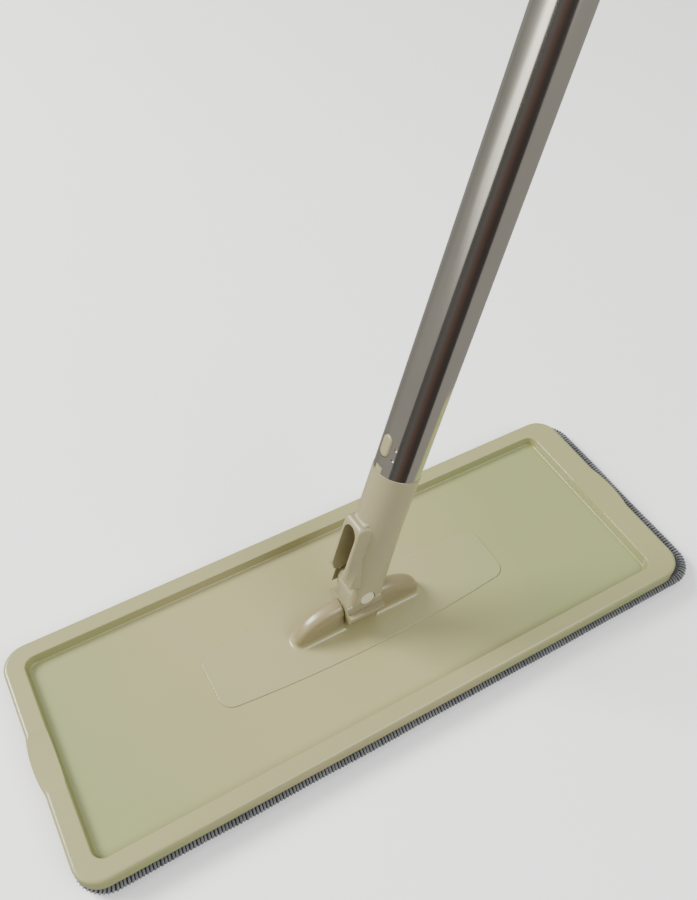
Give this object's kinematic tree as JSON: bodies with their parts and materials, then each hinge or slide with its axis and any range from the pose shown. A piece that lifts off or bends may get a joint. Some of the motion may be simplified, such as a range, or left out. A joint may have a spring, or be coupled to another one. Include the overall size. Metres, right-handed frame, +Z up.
{
  "type": "flat mop",
  "caption": "Flat floor mop with a microfibre pad, a shallow rimmed head, a two-way swivel and a telescopic steel tube.",
  "frame": {"origin": "on the floor, under the middle of the pad's sole", "axes": "+Z up, +X along the head towards the side the pole leans to, +Y across the head, away from the viewer"},
  "size_m": [0.429, 0.1613, 0.766],
  "materials": {
    "microfibre": "matt pile",
    "binding": "overlock stitching",
    "loop_backing": "knitted loop",
    "foam": "open foam",
    "hook_tape": "hook tape",
    "khaki_plastic": "satin moulded",
    "dark_plastic": "moulded",
    "zinc_steel": "zinc plated",
    "stainless": "polished",
    "spring_steel": "plain",
    "grip_rubber": "soft moulded"
  },
  "bodies": {
    "pad": {"pad_pile": "microfibre", "pad_foam": "foam", "pad_backing": "loop_backing", "pad_binding": "binding"},
    "head": {"hook_strips": "hook_tape", "head_tray": "khaki_plastic", "hinge_carrier": "khaki_plastic", "carrier_screws": "zinc_steel", "hinge_axle": "zinc_steel", "axle_keeper": "khaki_plastic"},
    "block": {"swivel_block": "khaki_plastic"},
    "pole": {"fork_pin": "khaki_plastic", "pole_connector": "khaki_plastic", "button_spring": "spring_steel", "lower_tube": "stainless", "lock_sleeve": "dark_plastic", "wedge_ring": "dark_plastic"},
    "button": {"snap_button": "khaki_plastic"},
    "nut": {"lock_nut": "khaki_plastic"},
    "upper": {"upper_tube": "stainless", "tube_guide": "dark_plastic", "grip_sleeve": "grip_rubber", "end_cap": "khaki_plastic"}
  },
  "joints": [
    {"name": "head_lift", "type": "slide", "parent": "pad", "child": "head", "axis": [0, 0, 1], "range_m": [0, 0.06]},
    {"name": "block_tilt", "type": "hinge", "parent": "head", "child": "block", "pos_m": [-0.001, 0, 0.0242], "axis": [1, 0, 0], "range_deg": [-73.4, 86.6]},
    {"name": "fork_fold", "type": "hinge", "parent": "block", "child": "pole", "pos_m": [-0.001, 0.00147, 0.03692], "axis": [0, 0.9934, -0.1149], "range_deg": [-87.2, 0]},
    {"name": "snap_button", "type": "slide", "parent": "pole", "child": "button", "axis": [0.9444, -0.0378, -0.3267], "range_m": [0, 0.003], "stiffness_N_per_m": 800, "deforming": ["button_spring"]},
    {"name": "lock_twist", "type": "hinge", "parent": "pole", "child": "nut", "pos_m": [-0.001, 0.00147, 0.03692], "axis": [0.3289, 0.1085, 0.9381], "range_deg": [-90, 90]},
    {"name": "pole_slide", "type": "slide", "parent": "pole", "child": "upper", "axis": [0.3289, 0.1085, 0.9381], "range_m": [-0.015, 0.37]}
  ]
}
